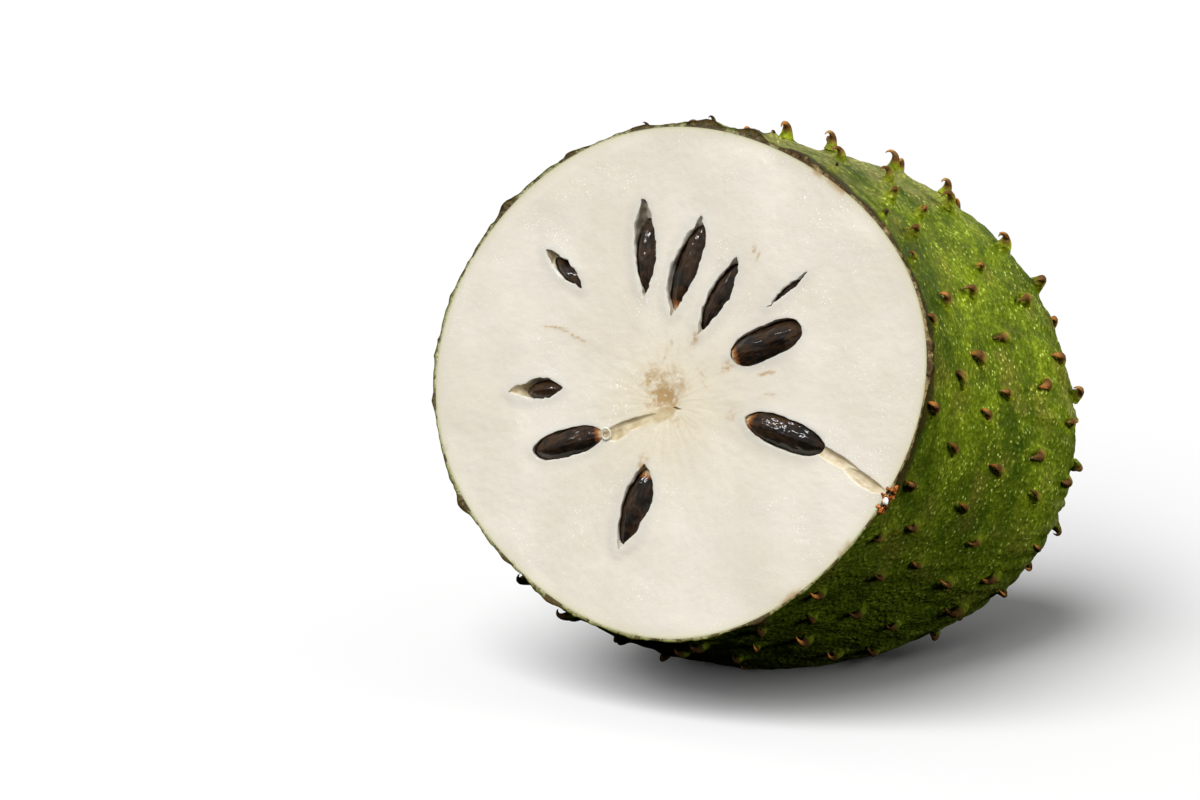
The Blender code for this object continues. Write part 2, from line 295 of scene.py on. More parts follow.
# one spine of unit length: a circle extruded, turned and narrowed ring by ring along its curl
def makeSpine(name, lean, curl, footWidth):
    deselectAll()
    bpy.ops.mesh.primitive_circle_add(vertices=spines["sides"], radius=footWidth * 1.5,
                                      location=(0, 0, -0.16))
    spine = bpy.context.object
    spine.name = name
    bpy.ops.object.transform_apply(location=True, rotation=True, scale=True)
    editVertices("SELECT")
    spot, turned, width = Vector((0, 0, -0.16)), 0.0, footWidth * 1.5
    for ring in range(1, spines["rings"] + 1):
        share = ring / (spines["rings"] + 1)
        run, rise, heading = spineCurl(share, lean, curl)
        nextSpot = Vector((run, 0, rise))
        nextWidth = footWidth * (0.55 * (1 - share) ** 2 + 0.58 * (1 - share ** 2) + 0.05)
        bpy.ops.mesh.extrude_region_move(TRANSFORM_OT_translate={"value": nextSpot - spot})
        bpy.ops.transform.rotate(value=-(heading - turned), orient_axis="Y",
                                 center_override=nextSpot)
        narrower = nextWidth / width
        bpy.ops.transform.resize(value=(narrower, narrower, narrower), center_override=nextSpot)
        spot, turned, width = nextSpot, heading, nextWidth
    run, rise, heading = spineCurl(1.0, lean, curl)
    bpy.ops.mesh.extrude_region_move(TRANSFORM_OT_translate={"value": Vector((run, 0, rise))
                                                             - spot})
    bpy.ops.mesh.merge(type="CENTER")
    bpy.ops.mesh.select_all(action="SELECT")
    bpy.ops.mesh.normals_make_consistent(inside=False)
    bpy.ops.object.mode_set(mode="OBJECT")
    bpy.ops.object.shade_smooth()
    rows = np.arange(len(spine.data.vertices)) // spines["sides"]
    setMark(spine, "spineShare", rows / rows.max())
    return spine


# how far a spine that points up counts as one of the top, and one that points down as under
def topShare(up):
    return float(smoothstep(0.25, 0.9, (toWorld.to_3x3() @ up).z))


def underShare(up):
    return float(smoothstep(0.05, 0.5, -(toWorld.to_3x3() @ up).z))


# height of the swelling that a spine stands on
def moundHeight(up, size):
    return skin["mound"][0] * size * (0.65 + 0.60 * topShare(up))


def standSpines(stands):
    kinds = [makeSpine(f"spineKind{number}", *kind)
             for number, kind in enumerate(spines["kinds"])]
    draw = random.Random(21)
    made = []
    for foot, up, forward, length in stands:
        source = draw.choices(kinds, weights=(4, 3, 3, 2))[0]
        copy = source.copy()
        copy.data = source.data.copy()
        turn = Matrix((forward, up.cross(forward), up)).transposed().to_4x4()
        size = length / spines["length"][1]
        taller = draw.uniform(*spines["taller"])
        if foot.y > 0.009 and (toWorld @ foot).z > 0.012:
            length *= taller
        topSide = topShare(up)
        sideways = (1 - topSide) * (1 - underShare(up))
        length *= 1 + (spines["sideSize"] - 1) * sideways
        length *= 1 + (spines["underSize"] - 1) * underShare(up)
        atRim = topSide * float(1 - smoothstep(0.010, 0.020, foot.y))
        length *= 1 + (spines["rimSize"] - 1) * atRim
        lean = Matrix.Rotation(math.radians(spines["leanSides"]) * (1 - topSide), 4, "Y")
        foot = foot + up * moundHeight(up, size) * 0.8
        wider = length * (1 + (spines["sideWidth"] - 1) * sideways)
        stretch = Matrix.Diagonal((length * draw.uniform(0.9, 1.15),
                                   wider * draw.uniform(0.8, 1.2),
                                   length * draw.uniform(0.85, 1.05), 1))
        copy.data.transform(Matrix.Translation(foot) @ turn @ lean @ stretch)
        # painted shade of the underside, for the spine's colours
        under = smoothstep(*skin["belly"], -(toWorld.to_3x3() @ up).z)
        count = len(copy.data.vertices)
        setMark(copy, "belly", np.full(count, under))
        setMark(copy, "halo", np.full(count, 1.0))
        setMark(copy, "scar", np.full(count, atRim))
        setMark(copy, "ripe", np.full(count, draw.random()))
        bpy.context.scene.collection.objects.link(copy)
        made.append(copy)
    for kind in kinds:
        bpy.data.objects.remove(kind, do_unlink=True)
    return made


skin = {
    "segments": 400,
    "rings": 320,
    "thickness": 0.00055,             # where it shows at the cut
    "backThickness": 0.0018,
    "mound": (0.0015, 0.0017, 0.0015, 0.0040),   # height, width, and length ahead and behind
    "belly": (-0.35, 0.85),           # where the painted shade of the underside starts and ends, darker downwards
    "lumps": (0.0005, 0.018),         # height and size of the soft unevenness
    "bumps": (0.00030, 0.0075),
    "pebbles": (0.00012, 0.0034),
    "wrinkles": 0.00042,
    "crust": (0.0011, 0.0024),        # height and size of the unevenness of the rim
    "knobs": ((143, 1.4, 2.3), (124, 0.4, 1.6), (106, 0.5, 3.0), (91, 1.3, 4.6),
              (78, 1.3, 3.4), (66, 0.6, 2.4), (-145, 0.7, 2.0), (-170, 0.5, 2.0),
              (-112, 0.6, 2.0), (-128, 0.4, 1.6), (-60, 0.4, 2.4)),   # angle, height, width
    "darkRim": (-14, 62),             # angles between which the rim has dried dark
}


# dried crumbs of pulp and skin that cling to the rim: angle, how far out and in front of the
# cut, size, and whether they have browned
crumbs = {
    "clumps": ((-19.8, 1.3, 18), (-23.5, 1.1, 14)),   # middle angle, spread in degrees, how many
    "size": (0.00020, 0.00052),
    "oval": (-21.9, 0.00088),         # angle and radius of the one pale crumb
    "seed": 5,
}


def addCrumb(angle, out, ahead, radius, stretch, browned, number):
    spot = Vector(outside(np.array([0.0]), np.array([math.radians(angle)]))[0]) * (1 + out)
    spot.y = ahead
    deselectAll()
    bpy.ops.mesh.primitive_ico_sphere_add(subdivisions=2, location=spot, radius=radius)
    crumb = bpy.context.object
    bpy.ops.transform.resize(value=stretch)
    bpy.ops.object.transform_apply(location=True, rotation=True, scale=True)
    points = getPoints(crumb)
    shift = np.stack([noiseAt(points, 0.0007, axis * 3.0 + number) for axis in range(3)], -1)
    setPoints(crumb, points + (0.00045 if browned else 0.0001) * shift)
    bpy.ops.object.shade_smooth()
    setMark(crumb, "crumb", np.full(len(points), 2.0 if browned else 1.0))
    return crumb


def scatterCrumbs():
    draw = random.Random(crumbs["seed"])
    angle, radius = crumbs["oval"]
    made = [addCrumb(angle, 0.0, 0.0, radius, (0.7, 0.6, 1.0), False, 0)]
    for middle, spread, count in crumbs["clumps"]:
        for number in range(count):
            made.append(addCrumb(middle + draw.uniform(-spread, spread),
                                 draw.uniform(-0.018, 0.010), draw.uniform(-0.0005, 0.0012),
                                 draw.uniform(*crumbs["size"]),
                                 (1, draw.uniform(0.6, 1.0), draw.uniform(0.6, 1.3)),
                                 True, middle + number))
    return made


def buildSkin():
    stands = spineStands()
    deselectAll()
    bpy.ops.mesh.primitive_uv_sphere_add(segments=skin["segments"], ring_count=skin["rings"],
                                         radius=1, rotation=(math.radians(-90), 0, 0))
    piece = bpy.context.object
    piece.name = "fruitSkin"
    bpy.ops.object.transform_apply(location=True, rotation=True, scale=True)
    bpy.ops.object.mode_set(mode="EDIT")
    bpy.ops.mesh.select_all(action="SELECT")
    bpy.ops.mesh.bisect(plane_co=(0, -0.001, 0), plane_no=(0, 1, 0), clear_inner=True)
    bpy.ops.object.mode_set(mode="OBJECT")
    points = getPoints(piece)
    atRim = points[:, 1] < 1e-4
    along = np.where(atRim, 0, np.clip(points[:, 1], 0, 1) ** 1.15)
    angle = np.arctan2(points[:, 2], points[:, 0])
    smooth = outside(along, angle)
    normal = outsideFrame(along, angle)[0]
    rise = np.zeros(len(points))
    halo = np.zeros(len(points))
    wide, ahead, behind = skin["mound"][1:]
    for foot, up, forward, length in stands:
        size = length / spines["length"][1]
        away = smooth - np.array(foot)
        near = np.linalg.norm(away, axis=1) < behind * 3
        lengthwise = away[near] @ np.array(forward)
        lengthwise /= np.where(lengthwise > 0, ahead, behind) * size
        sideways = away[near] @ np.array(up.cross(forward)) / (wide * size)
        reach = np.hypot(lengthwise, sideways)
        bell = np.exp(-reach ** 2)
        rise[near] += moundHeight(up, size) * bell
        # a ring of painted highlight round each foot, for the colours
        halo[near] = np.maximum(halo[near], np.exp(-(reach / 1.3) ** 2))
    for height, size, seed in (skin["lumps"] + (3,), skin["bumps"] + (6,),
                               skin["pebbles"] + (4,)):
        rise += height * noiseAt(smooth, size, seed)
    # wrinkles run lengthwise and deepen towards the blossom end
    around = np.stack([np.cos(angle) * 17, along * 2.6, np.sin(angle) * 17], axis=-1)
    wrinkles = noiseAt(around, 1.0, 11, 3)
    rise += skin["wrinkles"] * (0.35 + 1.6 * smoothstep(0.35, 0.95, along)) * wrinkles
    scar = np.zeros(len(points))
    for turn, tall, wide in skin["knobs"]:
        away = (angle - math.radians(turn) + math.pi) % (2 * math.pi) - math.pi
        across = away * fruit["faceRadius"] / (wide * mm)
        bell = np.exp(-across ** 2 - (along * fruit["length"] / (4.5 * mm)) ** 2)
        rise += tall * mm * bell
        scar = np.maximum(scar, bell)
    # the rim has dried to an uneven edge, most where it is dark
    first, last = (math.radians(turn) for turn in skin["darkRim"])
    window = smoothstep(first - 0.3, first, angle) * (1 - smoothstep(last, last + 0.3, angle))
    crusty = np.clip(noiseAt(smooth, skin["crust"][1], 19, 2), 0, 1) * (0.35 + 0.65 * window)
    rise += skin["crust"][0] * crusty * (1 - smoothstep(0.0, 0.004, along * fruit["length"]))
    normal[atRim, 1] = 0
    points = smooth + unit(normal) * rise[:, None]
    points[:, 1] = np.where(atRim, 0, np.maximum(points[:, 1], 0))
    setPoints(piece, pressFlat(points, 0.0))
    darkRim = window * (1 - smoothstep(0.0, 0.008, along * fruit["length"]))
    rimShade = window * (1 - smoothstep(0.004, 0.034, along * fruit["length"]))
    upwards = normal @ np.array(toWorld)[2, :3]
    # how far the skin faces down, for the painted shade of the underside
    belly = smoothstep(*skin["belly"], -upwards)
    # grey-brown towards the blossom end: dry, wrinkled skin there, partly a painted sheen; and a
    # painted sheen on the skin that faces up
    dry = smoothstep(0.40, 1.0, along) * (0.6 + 0.5 * wrinkles)
    dry = np.maximum(dry, 0.75 * smoothstep(0.55, 1.0, upwards))
    marks = {"halo": halo, "scar": scar, "spineShare": np.zeros(len(points)),
             "darkRim": darkRim, "rimShade": rimShade, "belly": belly, "dry": dry}
    for name, values in marks.items():
        setMark(piece, name, values)
    selectVertices(piece, atRim)
    closeBack(piece, angle[atRim], (0, 0.02, 0.1, 0.25, 0.4, 0.55, 0.7, 0.85, 0.96),
              skin["thickness"], skin["backThickness"])
    inner = np.zeros(len(piece.data.vertices))
    inner[len(points):] = 1
    setMark(piece, "innerSide", inner)
    bpy.ops.object.shade_smooth_by_angle(angle=math.radians(50))
    copies = standSpines(stands) + scatterCrumbs()
    deselectAll()
    for copy in copies:
        copy.select_set(True)
    piece.select_set(True)
    bpy.context.view_layer.objects.active = piece
    bpy.ops.object.join()
    piece.data.transform(toWorld)
    print("skin:", len(piece.data.polygons), "faces,", len(stands), "spines,",
          round(time.time() - started, 1), "s")
    return piece


# Seeds and their pockets. Places on the cut face in millimetres, headings in degrees: the
# heading is where the blunt end points, towards the core.
seedTable = (
    {"at": (-28.3, 20.7), "heading": -37, "size": (11.6, 4.8, 5.0), "deep": 0.0, "roll": 10},
    {"at": (-10.1, 25.4), "heading": -80, "size": (18.4, 6.8, 6.4), "deep": 0.0, "roll": 14},
    {"at": (0.4, 24.0), "heading": -99, "size": (20.8, 7.8, 5.6), "deep": -0.2, "roll": 10,
     "amber": 1},
    {"at": (8.8, 18.1), "heading": -111, "size": (18.6, 6.4, 6.2), "deep": -0.1, "roll": 0},
    {"at": (24.6, 20.7), "heading": -135, "size": (13.0, 4.6, 6.0), "deep": 0.4, "roll": 0},
    {"at": (21.7, 9.1), "heading": 205, "size": (18.6, 8.4, 6.2), "deep": -1.3, "roll": 12,
     "amber": 1, "full": 3.8, "blunt": 0.90},
    {"at": (28.5, -9.6), "heading": 167, "size": (20.8, 8.0, 6.0), "deep": -0.9, "roll": -10,
     "amber": 1, "full": 2.9, "blunt": 0.93},
    {"at": (-4.4, -28.7), "heading": 79, "size": (19.0, 7.2, 5.6), "deep": -0.2, "roll": -10,
     "amber": 1},
    {"at": (-22.2, -16.3), "heading": 17, "size": (18.6, 7.4, 6.0), "deep": -1.1, "roll": 12,
     "amber": 1, "full": 3.2, "blunt": 0.93},
    {"at": (-29.8, -5.2), "heading": 8, "size": (10.6, 5.0, 5.0), "deep": -0.2, "roll": 0},
)
# one opening for each seed: place, heading, length, widths on its two sides (the first on
# the left when looking along the heading), where each is widest, and depth
openingTable = (
    ((-29.4, 21.5), -37, 13.4, (1.8, 1.5), (0.0, 0.1), 3.2),
    ((-10.5, 27.7), -80, 22.2, (2.9, 2.6), (0.10, -0.25), 4.6),
    ((0.4, 24.1), -99, 22.8, (3.0, 3.7), (-0.35, 0.20), 4.0),
    ((8.8, 18.1), -111, 18.8, (2.5, 2.4), (-0.2, -0.1), 4.6),
    ((24.7, 20.6), -135, 11.8, (0.6, 0.7), (0.0, 0.0), 3.6),
    ((21.6, 9.1), 205, 17.2, (3.5, 3.8), (0.1, -0.1), 3.2, (3.6, 0.55)),
    ((28.6, -9.5), 167, 19.8, (3.5, 3.1), (-0.3, 0.1), 3.2, (2.8, 0.65)),
    ((-4.7, -28.7), 79, 19.8, (2.5, 4.4), (0.15, 0.32), 4.0),
    ((-22.2, -16.3), 17, 17.6, (3.1, 3.1), (0.1, -0.3), 3.2, (3.0, 0.60)),
    ((-32.2, -5.6), 8, 14.2, (2.6, 2.0), (0.3, 0.3), 2.8),
)
# shallow splits in the cut face and the hollow end of a pocket, in the same terms
splitTable = (
    ((-5.8, -9.8), 22, 17.4, (0.9, 2.0), (-0.3, -0.5), 1.0, (2.2, 0.9)),
    ((-10.4, -12.4), 22, 9.6, (1.4, 2.4), (0.1, -0.1), 1.0),
    ((41.4, -13.6), -24, 13.0, (0.9, 1.9), (0.0, -0.3), 1.1, (2.6, 0.8)),
    ((47.7, -17.0), -26, 12.2, (0.9, 2.1), (0.2, 0.1), 1.1, (2.8, 0.7)),
    ((2.6, -6.6), -10, 2.8, (0.3, 0.3), (0.0, 0.0), 1.6),
)
# where the walls of hollows and splits are tinted beige-brown: place, heading, length and widths
tintedWallTable = splitTable[:4] + (((-36.4, -6.0), 8, 6.4, (1.8, 1.8)),
                                 ((-33.4, 24.6), -37, 4.4, (1.4, 1.4)))
pockets = {
    "clear": 0.25,
    "raise": 0.3,
    "ragged": 0.44,
    "seedFullness": (2.2, 0.6),
    "seedBlunt": 0.94,
    "amberFrom": 0.80,                # seeds without an amber end keep their colour from here
    "seedSkew": -0.10,
}


def layOnFace(at, deep, heading, roll=0):
    return (Matrix.Translation((at[0] * mm, deep * mm, at[1] * mm))
            @ Matrix.Rotation(-math.radians(heading), 4, "Y")
            @ Matrix.Rotation(math.radians(roll), 4, "X"))


# a sphere along X whose vertices are known by their share of the half length and their turn
def addBody(name, segments, rings):
    deselectAll()
    bpy.ops.mesh.primitive_uv_sphere_add(segments=segments, ring_count=rings, radius=1,
                                         rotation=(0, math.radians(90), 0))
    piece = bpy.context.object
    piece.name = name
    bpy.ops.object.transform_apply(location=True, rotation=True, scale=True)
    bpy.ops.object.shade_smooth()
    points = getPoints(piece)
    return piece, np.clip(points[:, 0], -1, 1), np.arctan2(points[:, 1], points[:, 2])


def roughen(piece, amount, size, seed):
    points = getPoints(piece)
    shift = np.stack([noiseAt(points, size, seed + axis * 5, 3) for axis in range(3)], axis=-1)
    setPoints(piece, points + amount * mm * shift)


# a seed: flattened, blunt at its core end, with a slight edge round it
def makeSeed(name, seed, clear=0.0, segments=96, rings=84):
    piece, share, turn = addBody(name, segments, rings)
    length, width, thickness = (side + 2 * clear for side in seed["size"])
    curve, power = seed.get("full", pockets["seedFullness"][0]), pockets["seedFullness"][1]
    blunt = seed.get("blunt", pockets["seedBlunt"]) + (0.05 if clear else 0)
    share = np.where(share > 0, share * blunt, share)
    leant = share + pockets["seedSkew"] * (1 - share ** 2)
    full = (1 - np.abs(leant) ** curve) ** power
    full[np.abs(share) > 0.9999 * np.where(share > 0, blunt, 1)] = 0
    edge = 1 - 0.10 * np.abs(np.sin(turn)) * np.abs(np.cos(turn)) * 2
    points = np.stack([0.5 * length * share, 0.5 * thickness * full * edge * np.sin(turn),
                       0.5 * width * full * edge * np.cos(turn)], axis=-1)
    setPoints(piece, points * mm)
    return piece


# a pointed opening with its own width on each side and steep walls, cut from outside the face
def makeOpening(at, heading, length, widths, widest, depth, fullness=(1.9, 1.0), seed=0):
    piece, share, turn = addBody("opening", 40, 48)
    leftwards = np.cos(turn) > 0
    peak = np.where(leftwards, widest[0], widest[1])
    near = np.where(share < peak, (share + 1) / (peak + 1), (1 - share) / (1 - peak))
    full = (1 - (1 - np.clip(near, 0, 1)) ** fullness[0]) ** fullness[1]
    wide = np.where(leftwards, widths[0], widths[1]) * full
    steep = np.sign(np.cos(turn)) * np.abs(np.cos(turn)) ** (0.6 if depth > 2 else 1.5)
    points = np.stack([0.5 * length * share, depth * full ** 0.7 * np.sin(turn), wide * steep],
                      axis=-1)
    setPoints(piece, points * mm)
    ragged = pockets["ragged"] * min(1, depth / 3) * (1 if fullness[1] == 1 else 0.4)
    roughen(piece, ragged, 0.0019, seed)
    piece.data.transform(layOnFace(at, -pockets["raise"], heading))
    return piece


def makeCutters():
    cutters = []
    for number, seed in enumerate(seedTable, 1):
        chamber = makeSeed("chamber", seed, pockets["clear"], 44, 40)
        deep = seed["deep"] + seed["size"][2] / 2
        chamber.data.transform(layOnFace(seed["at"], deep, seed["heading"], seed["roll"]))
        cutters.append(chamber)
    for number, row in enumerate(openingTable + splitTable, 1):
        cutters.append(makeOpening(*row, seed=number))
    return cutters


flesh = {
    "cells": 250,
    "inset": 0.0006,
    "backInset": 0.0021,
    "swell": (0.00028, 0.020),
    "ripple": (0.00004, 0.0030),
    "fibres": 0.00003,
    "core": (0.3, -5.6),
    "coreDip": 0.0006,
    "coreTint": 15.0,                 # reach of the yellowish middle, in millimetres
    "rays": 11.0,                     # how close the fibres lie that run out from the core
    "rayReach": 13.0,                 # and how far they show, in millimetres
    "lip": (0.00012, 0.0014),         # height and reach of the swollen lips of the openings
    # a curled thread of pulp by the ninth seed, in millimetres and degrees
    "loop": {"at": (-12.9, -0.7, -13.6), "radius": 0.95, "thickness": 0.24, "tilt": 25,
             "turn": 15},
}
# stains on the cut face: across, up, half length and half width in millimetres, heading and
# strength
stainTable = (
    (-3.6, -0.8, 3.2, 3.2, 0, 0.55), (0.6, 0.8, 2.8, 2.4, 0, 0.36), (2.8, -1.6, 2.4, 2.2, 0, 0.36),
    (-0.9, -4.0, 3.0, 2.6, 0, 1.05), (3.0, -9.2, 2.8, 1.8, -20, 0.30), (1.4, -5.4, 1.8, 1.2, 20, 0.7), (-2.6, -2.6, 1.8, 2.2, 0, 0.5),
    (0.6, -0.8, 2.0, 2.4, 0, 0.30), (-3.6, -6.0, 1.8, 1.4, 20, 0.4), (2.8, -2.8, 1.8, 1.2, 0, 0.3),
    (4.9, 8.8, 2.0, 1.2, 60, 0.45), (13.2, 3.4, 2.0, 1.2, 30, 0.50), (22.8, 2.6, 1.9, 0.45, 14, 0.8),
    (24.0, -1.8, 1.7, 0.35, 6, 0.45), (15.8, 28.8, 0.6, 1.2, 0, 0.5), (17.0, 27.2, 0.4, 1.3, -20, 0.5),
    (-3.2, -18.8, 1.4, 1.6, 0, 0.6), (-30.0, 8.6, 2.6, 0.35, 0, 0.6), (-24.4, 7.0, 4.4, 0.45, -20, 0.5),
    (-1.6, 4.8, 0.5, 1.4, 0, 0.4), (-0.6, 7.4, 0.4, 1.0, 20, 0.4), (7.4, 1.4, 1.8, 0.35, -40, 0.35),
    (15.9, -6.8, 1.4, 1.6, 0, 0.35), (8.6, -1.0, 2.4, 0.4, -45, 0.3),
)


def squareToDisc(points):
    x, y = points[:, 0], points[:, 1]
    wide = np.abs(x) > np.abs(y)
    radius = np.where(wide, x, y)
    safe = np.where(np.abs(radius) < 1e-9, 1, radius)
    angle = np.where(wide, math.pi / 4 * y / safe, math.pi / 2 - math.pi / 4 * x / safe)
    return radius * np.cos(angle), radius * np.sin(angle)


# how far points of the face lie outside an opening, in millimetres
def outsideOf(row, points):
    at, heading, length, widths = row[:4]
    turn = math.radians(heading)
    dx, dz = points[:, 0] / mm - at[0], points[:, 2] / mm - at[1]
    lengthwise = dx * math.cos(turn) + dz * math.sin(turn)
    sideways = -dx * math.sin(turn) + dz * math.cos(turn)
    width = np.where(sideways > 0, widths[0], widths[1])
    width = width * np.sqrt(np.clip(1 - (2 * lengthwise / length) ** 2, 0, 1))
    return np.hypot(np.maximum(np.abs(lengthwise) - length / 2, 0),
                    np.maximum(np.abs(sideways) - width, 0))


def buildFlesh():
    deselectAll()
    bpy.ops.mesh.primitive_grid_add(x_subdivisions=flesh["cells"], y_subdivisions=flesh["cells"],
                                    size=2)
    piece = bpy.context.object
    piece.name = "fruitFlesh"
    square = getPoints(piece)
    across, up = squareToDisc(square)
    radius, angle = np.hypot(across, up), np.arctan2(up, across)
    rim = insidePoints(np.zeros(len(angle)), angle, flesh["inset"])
    points = rim * radius[:, None]
    fromCore = points[:, [0, 2]] - np.array(flesh["core"]) * mm
    coreDistance = np.hypot(fromCore[:, 0], fromCore[:, 1])
    coreAngle = np.arctan2(fromCore[:, 1], fromCore[:, 0])
    fade = 1 - smoothstep(0.93, 1.0, radius)
    deep = flesh["swell"][0] * noiseAt(points, flesh["swell"][1], 3)
    deep += flesh["ripple"][0] * noiseAt(points, flesh["ripple"][1], 5, 3)
    rays = np.stack([np.cos(coreAngle) * 7, np.sin(coreAngle) * 7, coreDistance * 90], axis=-1)
    deep += (flesh["fibres"] * noiseAt(rays, 1.0, 9, 3)
             * (0.4 + 1.6 * np.exp(-coreDistance / 0.014)))
    for row in openingTable:
        away = outsideOf(row, points) * mm
        deep -= flesh["lip"][0] * np.exp(-(away / flesh["lip"][1]) ** 2)
    points[:, 1] = deep * fade + flesh["coreDip"] * np.exp(-(coreDistance / 0.0035) ** 2)
    setPoints(piece, points)
    atRim = np.maximum(np.abs(square[:, 0]), np.abs(square[:, 1])) > 1 - 1e-6
    selectVertices(piece, atRim)
    closeBack(piece, angle[atRim], (0.012, 0.05, 0.13, 0.25, 0.4, 0.55, 0.7, 0.85, 0.96),
              flesh["inset"], flesh["backInset"])
    editVertices("SELECT")
    bpy.ops.mesh.normals_make_consistent(inside=False)
    bpy.ops.object.mode_set(mode="OBJECT")
    stock = bpy.data.collections.new("pocketCutters")
    bpy.context.scene.collection.children.link(stock)
    for cutter in makeCutters():
        for home in list(cutter.users_collection):
            home.objects.unlink(cutter)
        stock.objects.link(cutter)
    deselectAll()
    piece.select_set(True)
    bpy.context.view_layer.objects.active = piece
    hollow = piece.modifiers.new("pockets", "BOOLEAN")
    hollow.operation = "DIFFERENCE"
    hollow.operand_type = "COLLECTION"
    hollow.collection = stock
    hollow.solver = "MANIFOLD"
    bpy.ops.object.modifier_apply(modifier="pockets")
    for cutter in list(stock.objects):
        bpy.data.objects.remove(cutter, do_unlink=True)
    bpy.data.collections.remove(stock)
    softenLips(piece)
    deselectAll()
    loop = flesh["loop"]
    turned = (math.radians(90 + loop["tilt"]), 0, math.radians(loop["turn"]))
    bpy.ops.mesh.primitive_torus_add(location=Vector(loop["at"]) * mm, rotation=turned,
                                     major_radius=loop["radius"] * mm, major_segments=40,
                                     minor_radius=loop["thickness"] * mm, minor_segments=12)
    bpy.ops.transform.resize(value=(1, 1, 1.35))
    piece.select_set(True)
    bpy.context.view_layer.objects.active = piece
    bpy.ops.object.join()
    bpy.ops.object.shade_smooth_by_angle(angle=math.radians(60))
    markFlesh(piece)
    piece.data.transform(toWorld)
    print("flesh:", len(piece.data.polygons), "faces,", round(time.time() - started, 1), "s")
    return piece


# rounds the crisp edges where pockets and splits break through the cut face
def softenLips(piece):
    bpy.ops.object.mode_set(mode="EDIT")
    bpy.ops.mesh.select_mode(type="EDGE")
    bpy.ops.mesh.select_all(action="DESELECT")
    bpy.ops.mesh.edges_select_sharp(sharpness=math.radians(35))
    bpy.ops.mesh.select_mode(type="VERT")
    bpy.ops.object.mode_set(mode="OBJECT")
    points = getPoints(piece)
    chosen = np.empty(len(points), dtype=bool)
    piece.data.vertices.foreach_get("select", chosen)
    chosen &= (points[:, 1] < 0.0015) & (np.hypot(points[:, 0], points[:, 2]) < 0.052)
    selectVertices(piece, chosen)
    bpy.ops.object.mode_set(mode="EDIT")
    bpy.ops.mesh.vertices_smooth(factor=0.5, repeat=2)
    bpy.ops.object.mode_set(mode="OBJECT")


# how near each point lies to a pocket, for the painted shade round it, to a stain and to the rim, for
# the colours
def markFlesh(piece):
    points = getPoints(piece)
    pocketNear = np.zeros(len(points))
    for row in openingTable:
        pocketNear = np.maximum(pocketNear, 1 - smoothstep(0.2, 3.2, outsideOf(row, points)))
    stain = np.zeros(len(points))
    for across, up, long, wide, heading, strength in stainTable:
        turn = math.radians(heading)
        dx, dz = points[:, 0] / mm - across, points[:, 2] / mm - up
        reach = np.hypot((dx * math.cos(turn) + dz * math.sin(turn)) / long,
                         (dz * math.cos(turn) - dx * math.sin(turn)) / wide)
        stain = np.maximum(stain, strength * np.exp(-reach ** 2))
    stain *= np.clip(0.8 + 1.0 * noiseAt(points, 0.0011, 15, 3), 0, 1.3)
    groove = np.zeros(len(points))
    for row in tintedWallTable:
        groove = np.maximum(groove, 1 - smoothstep(0.2, 0.6, outsideOf(row, points)))
    groove *= smoothstep(0.00005, 0.00025, points[:, 1])
    core = np.hypot(points[:, 0] / mm - flesh["core"][0], points[:, 2] / mm - flesh["core"][1])
    angle = np.arctan2(points[:, 2], points[:, 0])
    rim = insidePoints(np.zeros(len(angle)), angle, flesh["inset"])
    inwards = np.hypot(rim[:, 0], rim[:, 2]) - np.hypot(points[:, 0], points[:, 2])
    # round the core and out from it, for the fibres
    away = points[:, [0, 2]] / mm - np.array(flesh["core"])
    out = np.maximum(core, 0.6)[:, None]
    layer = piece.data.attributes.new("corePlace", "FLOAT_VECTOR", "POINT")
    rays = np.concatenate([away / out * flesh["rays"], core[:, None] / 5], axis=1)
    layer.data.foreach_set("vector", rays.astype(np.float32).ravel())
    marks = {"pocketNear": pocketNear, "stain": stain, "rimDepth": np.clip(inwards / 0.010, 0, 1),
             # depth below the cut face, for the painted shade in pockets and splits
             "deep": np.clip(points[:, 1] / 0.006, 0, 1), "groove": groove,
             "coreNear": np.exp(-(core / flesh["coreTint"]) ** 2),
             "fibrous": np.exp(-core / flesh["rayReach"])}
    for name, values in marks.items():
        setMark(piece, name, values)


def buildSeeds():
    made = []
    for number, seed in enumerate(seedTable, 1):
        piece = makeSeed(f"seed{number:02d}", seed)
        local = getPoints(piece)
        along = local[:, 0] / (seed["size"][0] * mm) + 0.5
        if "amber" not in seed:
            along = np.minimum(along, pockets["amberFrom"])
        setMark(piece, "seedAlong", along)
        layer = piece.data.attributes.new("seedPlace", "FLOAT_VECTOR", "POINT")
        layer.data.foreach_set("vector", (local / mm + number * 20).astype(np.float32).ravel())
        roughen(piece, 0.20, 0.0045, number * 3.1)
        furrows = noiseAt(local * (0.35, 1, 1), 0.0009, number * 1.7, 3)
        setPoints(piece, getPoints(piece) * (1 + 0.034 * furrows[:, None] * (0, 1, 1)))
        deep = seed["deep"] + seed["size"][2] / 2
        piece.data.transform(toWorld @ layOnFace(seed["at"], deep, seed["heading"], seed["roll"]))
        made.append(piece)
    print("seeds:", len(made))
    return made


# Shader maths: a wire is a socket whose operators add Math nodes
class Wire:
    def __init__(self, tree, socket):
        self.tree, self.socket = tree, socket

    def combine(self, operation, first, second):
        node = self.tree.nodes.new("ShaderNodeMath")
        node.operation = operation
        for place, value in enumerate((first, second)):
            if isinstance(value, Wire):
                self.tree.links.new(value.socket, node.inputs[place])
            else:
                node.inputs[place].default_value = value
        return Wire(self.tree, node.outputs[0])

    def __add__(self, other):
        return self.combine("ADD", self, other)

    def __radd__(self, other):
        return self.combine("ADD", other, self)

    def __sub__(self, other):
        return self.combine("SUBTRACT", self, other)

    def __rsub__(self, other):
        return self.combine("SUBTRACT", other, self)

    def __mul__(self, other):
        return self.combine("MULTIPLY", self, other)

    def __rmul__(self, other):
        return self.combine("MULTIPLY", other, self)


